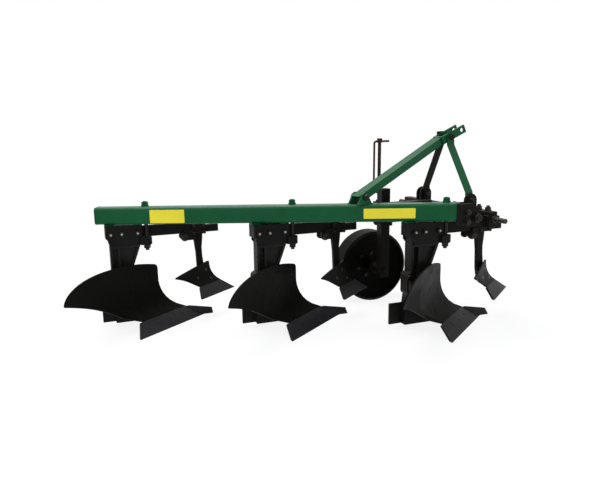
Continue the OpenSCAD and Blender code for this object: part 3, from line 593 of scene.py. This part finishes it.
CROSS_REAR, CROSS_FRONT, CROSS_LOW, CROSS_HIGH = -198, -126, 600, 664
CROSS_RIGHT, CROSS_LEFT, CROSS_CAP, CROSS_CORNER = -250, 620, 12, 4
EAR_SEAM_HALF, FORK_SEAM_IN, BEAD_OUT = 36, 8, 1
FORK_RIGHT, FORK_LEFT, FORK_T = -218, -134, 14
RAIL_SEAMS, RAIL_SEAM_LOW, RAIL_SEAM_HIGH = (285, 345), 640, 662
form = bmesh.new()
for ear_y in (ear_right, ear_left):
    for seam_y in (ear_y - EAR_HALF, ear_y + EAR_HALF):
        seam_rear = (EAR_X - EAR_SEAM_HALF, seam_y, CROSS_HIGH + BEAD_OUT)
        seam_front = (EAR_X + EAR_SEAM_HALF, seam_y, CROSS_HIGH + BEAD_OUT)
        furrow_weld(form, seam_rear, seam_front, HEAVY_WELD)
rear_seams = [
    (plate_y, CROSS_LOW + FORK_SEAM_IN, CROSS_HIGH - FORK_SEAM_IN)
    for plate_y in (FORK_RIGHT, FORK_RIGHT + FORK_T, FORK_LEFT - FORK_T, FORK_LEFT)
]
rear_seams += [(rail_y, RAIL_SEAM_LOW, RAIL_SEAM_HIGH) for rail_y in RAIL_SEAMS]
bead_x = CROSS_REAR - BEAD_OUT
for seam_y, low, high in rear_seams:
    furrow_weld(form, (bead_x, seam_y, low), (bead_x, seam_y, high), HEAVY_WELD)
for cap_y in (CROSS_RIGHT + CROSS_CAP, CROSS_LEFT - CROSS_CAP):
    for level in (CROSS_LOW, CROSS_HIGH):
        seam_rear = (CROSS_REAR + CROSS_CORNER, cap_y, level)
        seam_front = (CROSS_FRONT - CROSS_CORNER, cap_y, level)
        furrow_weld(form, seam_rear, seam_front, FINE_WELD)
    for face_x in (CROSS_REAR, CROSS_FRONT):
        seam_low = (face_x, cap_y, CROSS_LOW + CROSS_CORNER)
        seam_high = (face_x, cap_y, CROSS_HIGH - CROSS_CORNER)
        furrow_weld(form, seam_low, seam_high, FINE_WELD)
settle("hitch_welds", form, "plough_frame", black_plate_and_painted_shade)

SMALL_BOLT = {"width": 0.024, "height": 0.011, "washer": 0.031}
DRUM_NUT = {"width": 0.046, "height": 0.022, "washer": 0.060, "washer_t": 0.005}
FORK_BOLT = {"width": 0.030, "height": 0.015, "washer": 0.042, "washer_t": 0.004}
CLAMP_NUT = {"width": 0.030, "height": 0.016, "washer": 0.040, "washer_t": 0.004}
DRUM_THREAD = {"diameter": 0.030, "length": 0.014}
CLAMP_THREAD = {"diameter": 0.020, "length": 0.010}
FLANGE_AHEAD, FLANGE_BOLT_OUT, FLANGE_BOLT_UP = 0.196, 0.026, 0.030
DRUM_X, DRUM_Z, DRUM_NUT_OUT = -260, 658, 27
FORK_BOLT_X, FORK_BOLT_LEVELS = -318, (640, 690)
CLAMP_BOLTS_Y, CLAMP_NUT_UP = (-196, -120), 20
STIFF_REAR, STIFF_FRONT, STIFF_TOP = -190, -138, 688
form = bmesh.new()
flange = beam_middle + BEAM_WAY * FLANGE_AHEAD
for side in (-1, 1):
    for level in (-1, 1):
        place = flange + BEAM_OUT * side * FLANGE_BOLT_OUT + UP * level * FLANGE_BOLT_UP
        hex_head(form, place, BEAM_WAY, **SMALL_BOLT)
for plate_y, side in ((FORK_RIGHT, -1), (FORK_LEFT, 1)):
    outward = (0, side, 0)
    hex_head(form, in_furrow(DRUM_X, plate_y, DRUM_Z), outward, **DRUM_NUT)
    thread_end(form, in_furrow(DRUM_X, plate_y + side * DRUM_NUT_OUT, DRUM_Z), outward, **DRUM_THREAD)
    for bolt_z in FORK_BOLT_LEVELS:
        hex_head(form, in_furrow(FORK_BOLT_X, plate_y, bolt_z), outward, **FORK_BOLT)
for bolt_y in CLAMP_BOLTS_Y:
    hex_head(form, in_furrow(EAR_X, bolt_y, STIFF_TOP), UP, **CLAMP_NUT)
    thread_end(form, in_furrow(EAR_X, bolt_y, STIFF_TOP + CLAMP_NUT_UP), UP, **CLAMP_THREAD)
settle("fork_bolts", form, "plough_frame", bolt_black)


def flat_bar(form, low, high, easing):
    middle = (low + high) / 2
    verts = block(form, middle, Matrix.Identity(4), high - low)
    upper = {
        edge for vert in verts for edge in vert.link_edges
        if all(end.co.z > middle.z for end in edge.verts)
    }
    ease_edges(form, list(upper), easing, segments=3)


STIFF_NOTCH, STIFF_END_IN, STIFF_SEAM_IN, STIFF_EASING = 15, 6, 8, 0.005
stiffener_runs = (
    (CROSS_RIGHT + STIFF_END_IN, ear_right - STIFF_NOTCH),
    (ear_right + STIFF_NOTCH, ear_left - STIFF_NOTCH),
    (ear_left + STIFF_NOTCH, CROSS_LEFT - STIFF_END_IN),
)
form = bmesh.new()
for right_y, left_y in stiffener_runs:
    low_corner = in_furrow(STIFF_REAR, right_y, CROSS_HIGH)
    high_corner = in_furrow(STIFF_FRONT, left_y, STIFF_TOP)
    flat_bar(form, low_corner, high_corner, STIFF_EASING)
    for face_x in (STIFF_REAR, STIFF_FRONT):
        seam_right = (face_x, right_y + STIFF_SEAM_IN, CROSS_HIGH)
        seam_left = (face_x, left_y - STIFF_SEAM_IN, CROSS_HIGH)
        furrow_weld(form, seam_right, seam_left, HEAVY_WELD)
settle("crossbar_stiffener", form, "plough_frame", black_plate_and_painted_shade)

# The left ear is doubled by an outer cheek, with a collar between them on the same bolt
CHEEK_OFF, CHEEK_T, CHEEK_R, CHEEK_SIDES, CHEEK_SINK = 30, 0.012, 0.042, 40, 1
COLLAR_OFF, COLLAR_R, COLLAR_SIDES = 20, 0.024, 28
A_HAIR = 0.001
form = bmesh.new()
cheek_middle = in_furrow(EAR_X, ear_left + CHEEK_OFF, EAR_Z)
cheek = bmesh.ops.create_circle(
    form, cap_ends=True, segments=CHEEK_SIDES, radius=CHEEK_R, matrix=stand_up(cheek_middle, (0, 1, 0))
)
cheek_base = in_furrow(EAR_X, ear_left, STIFF_TOP - CHEEK_SINK)
for vert in cheek["verts"]:
    if vert.co.z < cheek_middle.z - A_HAIR:
        vert.co.z = cheek_base.z
grown = bmesh.ops.extrude_face_region(form, geom=list(form.faces))
outer_rim = [item for item in grown["geom"] if isinstance(item, bmesh.types.BMVert)]
bmesh.ops.translate(form, verts=outer_rim, vec=(0, CHEEK_T, 0))
round_bar(form, in_furrow(EAR_X, ear_left + COLLAR_OFF, EAR_Z), cheek_middle, COLLAR_R, COLLAR_SIDES)
settle("left_ear_cheek", form, "plough_frame", black_plate_and_painted_shade)

# Stud heads: the washers, nuts and thread ends of the draw studs on top of the beam, sprayed with it.
# The green coat is a thin skin grown over the solid's own shape, cut off just above the beam.
DOUBLES = 0.00002


def merged_copy(node_name):
    form = bmesh.new()
    form.from_mesh(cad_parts[node_name].data)
    bmesh.ops.remove_doubles(form, verts=form.verts, dist=DOUBLES)
    return form


COAT_T, COAT_UP = 0.00064, 1
dress(bolt_black, "draw_studs")
coat_foot = in_furrow(0, 0, BEAM_Z + BEAM_HALF * MM_IN_M + COAT_UP)
form = merged_copy("draw_studs")
cut = bmesh.ops.bisect_plane(
    form, geom=form.verts[:] + form.edges[:] + form.faces[:], plane_co=coat_foot, plane_no=UP,
    clear_inner=True,
)
cut_rim = [item for item in cut["geom_cut"] if isinstance(item, bmesh.types.BMEdge)]
bmesh.ops.holes_fill(form, edges=cut_rim)
form.normal_update()
for vert, way in [(vert, vert.normal.copy()) for vert in form.verts]:
    vert.co += way * COAT_T
settle("stud_head_coat", form, "plough_frame", green_bar)

# Body brackets: black inverted-U castings under the beam's pads, one for each body.
# Three bolts through the cheeks hold the stand; dark nuts and zinc thread ends show on the right, the ends
# made pale as a painted highlight.
black_cast = painted(
    "black_cast", colour=(0.0036, 0.0034, 0.0033), clouded=(0.0075, 0.0070, 0.0066),
    worn=(0.050, 0.044, 0.039), rough=0.42, radius=0.003, wear=0.5, dusting=0.08, skin_depth=0.22,
    gloss=0.09,
)
# Pale zinc for the thread ends: partly the zinc's own colour, partly painted highlight for the glint on the
# bolt tips
zinc_with_painted_highlight = painted(
    "zinc_with_painted_highlight", colour=(0.26, 0.26, 0.25), clouded=(0.36, 0.35, 0.33), worn=(0.50, 0.48, 0.44),
    rough=0.34, radius=0.0006, metal=0.9, dusting=0.04, gloss=0.5,
)
RIGHTWARD = (0, -1, 0)
CHEEK_NUT = {"width": 0.026, "height": 0.012}
CHEEK_THREAD = {"diameter": 0.013, "length": 0.006}
CHEEK_BOLTS_X, CHEEK_BOLT_Z, CHEEK_NEAR, CHEEK_NUT_OUT = (-602, -539, -447), 588, -140, 12
form = bmesh.new()
tips = bmesh.new()
for body in BODIES:
    dress(black_cast, f"body_bracket_{body + 1}")
    for bolt_x in CHEEK_BOLTS_X:
        hex_head(form, in_furrow(bolt_x, CHEEK_NEAR, CHEEK_BOLT_Z, body), RIGHTWARD, **CHEEK_NUT)
        tip = in_furrow(bolt_x, CHEEK_NEAR - CHEEK_NUT_OUT, CHEEK_BOLT_Z, body)
        thread_end(tips, tip, RIGHTWARD, **CHEEK_THREAD)
settle("bracket_nuts", form, "plough_frame", bolt_black)
settle("bracket_bolt_tips", tips, "plough_frame", zinc_with_painted_highlight)

# Stands: black castings cored from both sides, so that a rim and one rib stand proud of the web.
# Frogs are bolted through the web, landsides to the frogs; flat stays run from rear lug to wing.
stand_cast = painted(
    "stand_cast", colour=(0.0080, 0.0076, 0.0072), clouded=(0.0160, 0.0150, 0.0140),
    worn=(0.060, 0.053, 0.047), rough=0.42, radius=0.003, wear=0.5, dusting=0.08, skin_depth=0.22,
    gloss=0.11,
)
FROG_BOLT = {"width": 0.024, "height": 0.012, "washer": 0.030}
STAY_BOLT = {"width": 0.022, "height": 0.010, "washer": 0.028}
# Each frog bolt: its x and z
FROG_BOLTS, WEB_NEAR = ((-582, 190), (-522, 180), (-582, 262), (-522, 262)), -102
LUG_X, LUG_NEAR, LUG_Z = -624, -128, 330
dress(black_plate_and_painted_shade, "wing_braces")
form = bmesh.new()
for body in BODIES:
    dress(stand_cast, f"stand_{body + 1}")
    dress(black_cast, f"frog_{body + 1}", f"landside_{body + 1}")
    for bolt_x, bolt_z in FROG_BOLTS:
        hex_head(form, in_furrow(bolt_x, WEB_NEAR, bolt_z, body), RIGHTWARD, **FROG_BOLT)
    hex_head(form, in_furrow(LUG_X, LUG_NEAR, LUG_Z, body), RIGHTWARD, **STAY_BOLT)
settle("stand_bolts", form, "plough_frame", bolt_black)

# Mouldboards: rolled three-layer steel, lacquered black for shipping.
# Smooth skins stand for the CAD sheets, held by flush plough bolts whose heads just show.
board_black = painted(
    "board_black", colour=(0.0012, 0.0013, 0.0009), clouded=(0.0030, 0.0030, 0.0023),
    worn=(0.040, 0.037, 0.033), rough=0.48, radius=0.002, wear=0.55, dusting=0.02, gloss=0.04,
)
FLUSH_SUNK, FLUSH_RIM, FLUSH_CROWN = 0.002, 0.0007, 0.0011
CROWN_FOOT, CROWN_TOP, FLUSH_SIDES = 0.40, 0.34, 24


def smooth_skin(node_name, name, material, body="plough_frame", smooth_below=28):
    piece = settle(name, merged_copy(node_name), body, material, smooth_below)
    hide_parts(node_name)


def flush_bolts(form, node_name, starts, way, diameter):
    surface = merged_copy(node_name)
    tree = BVHTree.FromBMesh(surface)
    surface.free()
    for start in starts:
        place, normal = tree.ray_cast(start, way)[:2]
        if place is None:
            continue
        if normal.dot(way) > 0:
            normal = -normal
        rim = place + normal * FLUSH_RIM
        crown = place + normal * FLUSH_CROWN
        round_bar(form, place - normal * FLUSH_SUNK, rim, diameter / 2, FLUSH_SIDES)
        round_bar(form, rim, crown, diameter * CROWN_FOOT, FLUSH_SIDES, end_radius=diameter * CROWN_TOP)


# Each board bolt: its y and z, found on the board by looking back from a place ahead of it
BOARD_BOLTS = ((-45, 110), (-45, 215), (-45, 310), (-150, 120), (-150, 250), (-150, 350), (-300, 300))
AHEAD_OF_BOARD, BOARD_BOLT_WIDE = 300, 0.026
BACKWARD = Vector((-1, 0, 0))
form = bmesh.new()
for body in BODIES:
    board = f"mouldboard_{body + 1}"
    smooth_skin(board, f"board_skin_{body + 1}", board_black)
    starts = [in_furrow(AHEAD_OF_BOARD, y, z, body) for y, z in BOARD_BOLTS]
    flush_bolts(form, board, starts, BACKWARD, BOARD_BOLT_WIDE)
settle("board_bolts", form, "plough_frame", board_black)

# Shares: forged and ground steel in a blue-grey shipping primer, rubbed paler along their edges.
# Each is held to the frog by a row of countersunk bolts that runs along the cutting edge.
share_grey = painted(
    "share_grey", colour=(0.0085, 0.0088, 0.0102), clouded=(0.0135, 0.0138, 0.0158),
    worn=(0.12, 0.118, 0.115), rough=0.42, radius=0.0025, wear=0.7, dusting=0.03, skin_depth=0.10,
    gloss=0.10,
)
EDGE_TURN = math.radians(36.2)
SHARE_BOLT_RUNS, SHARE_BOLT_IN, ABOVE_SHARE, SHARE_BOLT_WIDE = (190, 300, 410), 58, 300, 0.024
form = bmesh.new()
for body in BODIES:
    dress(share_grey, f"share_{body + 1}")
    starts = []
    for run in SHARE_BOLT_RUNS:
        x = -run * math.cos(EDGE_TURN) - SHARE_BOLT_IN * math.sin(EDGE_TURN)
        y = -run * math.sin(EDGE_TURN) + SHARE_BOLT_IN * math.cos(EDGE_TURN)
        starts.append(in_furrow(x, y, ABOVE_SHARE, body))
    flush_bolts(form, f"share_{body + 1}", starts, -UP, SHARE_BOLT_WIDE)
settle("share_bolts", form, "plough_frame", share_grey)

# Skimmers: small plough bodies on forged stems, clamped to flat carrier bars ahead of each body.
# The clamp's side plates are drawn together by one long bolt; three plough bolts hold the board.
black_forged = painted(
    "black_forged", colour=(0.0042, 0.0038, 0.0035), clouded=(0.0085, 0.0074, 0.0066),
    worn=(0.052, 0.041, 0.033), rough=0.46, radius=0.003, wear=0.7, dusting=0.08, skin_depth=0.12,
    gloss=0.08,
)
CLAMP_HEAD = {"width": 0.036, "height": 0.016, "washer": 0.044}
BAR_BOLT = {"width": 0.019, "height": 0.008}
CLAMP_X, CLAMP_Z, CLAMP_NEAR = -148, 522, -58
BAR_BOLTS_X, BAR_BOLTS_Z = (-89, -25), (547, 590)
# Each skimmer bolt: its y and z on the board
SKIMMER_BOLTS = ((-28, 235), (-28, 295), (-95, 262))
AHEAD_OF_SKIMMER, SKIMMER_BOLT_WIDE = 400, 0.020
dress(black_forged, "skimmer_clamps")
form = bmesh.new()
for body in BODIES:
    dress(black_forged, f"skimmer_bar_{body + 1}", f"skimmer_stem_{body + 1}")
    dress(share_grey, f"skimmer_share_{body + 1}")
    board = f"skimmer_board_{body + 1}"
    smooth_skin(board, f"skimmer_skin_{body + 1}", board_black)
    starts = [in_furrow(AHEAD_OF_SKIMMER, y, z, body) for y, z in SKIMMER_BOLTS]
    flush_bolts(form, board, starts, BACKWARD, SKIMMER_BOLT_WIDE)
    hex_head(form, in_furrow(CLAMP_X, CLAMP_NEAR, CLAMP_Z, body), RIGHTWARD, **CLAMP_HEAD)
    for bolt_x in BAR_BOLTS_X:
        for bolt_z in BAR_BOLTS_Z:
            hex_head(form, in_furrow(bolt_x, CLAMP_NEAR, bolt_z, body), RIGHTWARD, **BAR_BOLT)
settle("skimmer_bolts", form, "plough_frame", bolt_black)

# A flat rib stands on each carrier bar, up to the bar's own highest level
RIB_REAR, RIB_FRONT, RIB_FOOT_UP, RIB_EASING = -219, -101, 45, 0.003
form = bmesh.new()
for body in BODIES:
    bar_low, bar_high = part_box(f"skimmer_bar_{body + 1}")
    rib_low = Vector((in_furrow(RIB_REAR, 0, 0, body).x, bar_low.y, bar_low.z + RIB_FOOT_UP / MM_IN_M))
    rib_high = Vector((in_furrow(RIB_FRONT, 0, 0, body).x, bar_high.y, bar_high.z))
    flat_bar(form, rib_low, rib_high, RIB_EASING)
settle("skimmer_bar_ribs", form, "plough_frame", black_forged)

# Depth wheel: a pressed steel wheel on a stub axle, carried by a square post in a sleeve on the left rail.
# A screw with a hanging crank sets the depth; screw and crank are bare steel, browned by rust.
rusted = painted(
    "rusted_steel", colour=(0.040, 0.019, 0.011), clouded=(0.022, 0.013, 0.0095),
    worn=(0.13, 0.085, 0.060), rough=0.62, radius=0.001, metal=0.25, dusting=0.06, skin_depth=0.20,
)
SMOOTH_TURNED = 40
dress(black_plate_and_painted_shade, "wheel_bracket", "wheel_post", "wheel_axle")
smooth_skin("wheel", "wheel_skin", board_black, "depth_wheel")
smooth_skin("crank_handle", "crank_skin", rusted, smooth_below=SMOOTH_TURNED)

WHEEL_X, WHEEL_Y, WHEEL_Z = -484, 574, 240
WHEEL_BOLT = {"width": 0.022, "height": 0.010, "washer": 0.028}
WHEEL_BOLTS, BOLT_CIRCLE, DISC_OFF, FIRST_BOLT = 6, 78, 21.2, 0.26
form = bmesh.new()
for turn in range(WHEEL_BOLTS):
    angle = 2 * math.pi / WHEEL_BOLTS * turn + FIRST_BOLT
    bolt_x = WHEEL_X + BOLT_CIRCLE * math.cos(angle)
    bolt_z = WHEEL_Z + BOLT_CIRCLE * math.sin(angle)
    hex_head(form, in_furrow(bolt_x, WHEEL_Y + DISC_OFF, bolt_z), RIGHTWARD, **WHEEL_BOLT)
settle("wheel_bolts", form, "depth_wheel", bolt_black)

# The screw: a core with two collars, and one flank of thread spun up round it
SCREW_Y, SCREW_LOW, SCREW_HIGH = 462, 638, 1070
CORE, CREST, ROOT_IN, PITCH, TURN_STEPS = 0.0102, 0.0119, 0.0004, 0.007, 18
CREST_LOW, CREST_HIGH, FLANK_HIGH = 0.25, 0.45, 0.70
THREAD_LOW, THREAD_HIGH = 704, 1062
# Each collar: its lower and upper end
COLLARS = ((651.7, 661.7), (690.3, 700.3))
SCREW_COLLAR_R, SCREW_COLLAR_SIDES, CORE_SIDES = 0.019, 32, 24
form = bmesh.new()
core_low, core_high = in_furrow(WHEEL_X, SCREW_Y, SCREW_LOW), in_furrow(WHEEL_X, SCREW_Y, SCREW_HIGH)
round_bar(form, core_low, core_high, CORE, CORE_SIDES)
for low, high in COLLARS:
    collar_low, collar_high = in_furrow(WHEEL_X, SCREW_Y, low), in_furrow(WHEEL_X, SCREW_Y, high)
    round_bar(form, collar_low, collar_high, SCREW_COLLAR_R, SCREW_COLLAR_SIDES)
screw_foot = in_furrow(WHEEL_X, SCREW_Y, THREAD_LOW)
flank_shape = (
    (CORE - ROOT_IN, 0), (CREST, PITCH * CREST_LOW), (CREST, PITCH * CREST_HIGH),
    (CORE - ROOT_IN, PITCH * FLANK_HIGH),
)
flank = [form.verts.new(screw_foot + Vector((reach, 0, rise))) for reach, rise in flank_shape]
flank_edges = [form.edges.new(pair) for pair in zip(flank, flank[1:] + flank[:1])]
turns = int((THREAD_HIGH - THREAD_LOW) / MM_IN_M / PITCH)
bmesh.ops.spin(
    form, geom=flank + flank_edges, cent=screw_foot, axis=UP, angle=2 * math.pi * turns,
    steps=TURN_STEPS * turns, dvec=(0, 0, PITCH / TURN_STEPS),
)
screw = settle("screw_thread", form, "plough_frame", rusted, SMOOTH_TURNED)
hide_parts("depth_screw")

FLANGE_BOLT_ASIDE, FLANGE_FACE_Y, FLANGE_BOLT_LEVELS = 82, 357.7, (590, 662)
SET_SCREW = {"width": 0.024, "height": 0.016}
SLEEVE_SIDE, SET_SCREW_Y, SET_SCREW_LEVELS = 42.3, 400, (585, 640)
form = bmesh.new()
for bolt_x in (WHEEL_X - FLANGE_BOLT_ASIDE, WHEEL_X + FLANGE_BOLT_ASIDE):
    for bolt_z in FLANGE_BOLT_LEVELS:
        hex_head(form, in_furrow(bolt_x, FLANGE_FACE_Y, bolt_z), (0, 1, 0), **SMALL_BOLT)
for bolt_z in SET_SCREW_LEVELS:
    hex_head(form, in_furrow(WHEEL_X - SLEEVE_SIDE, SET_SCREW_Y, bolt_z), BACKWARD, **SET_SCREW)
settle("sleeve_bolts", form, "plough_frame", bolt_black)
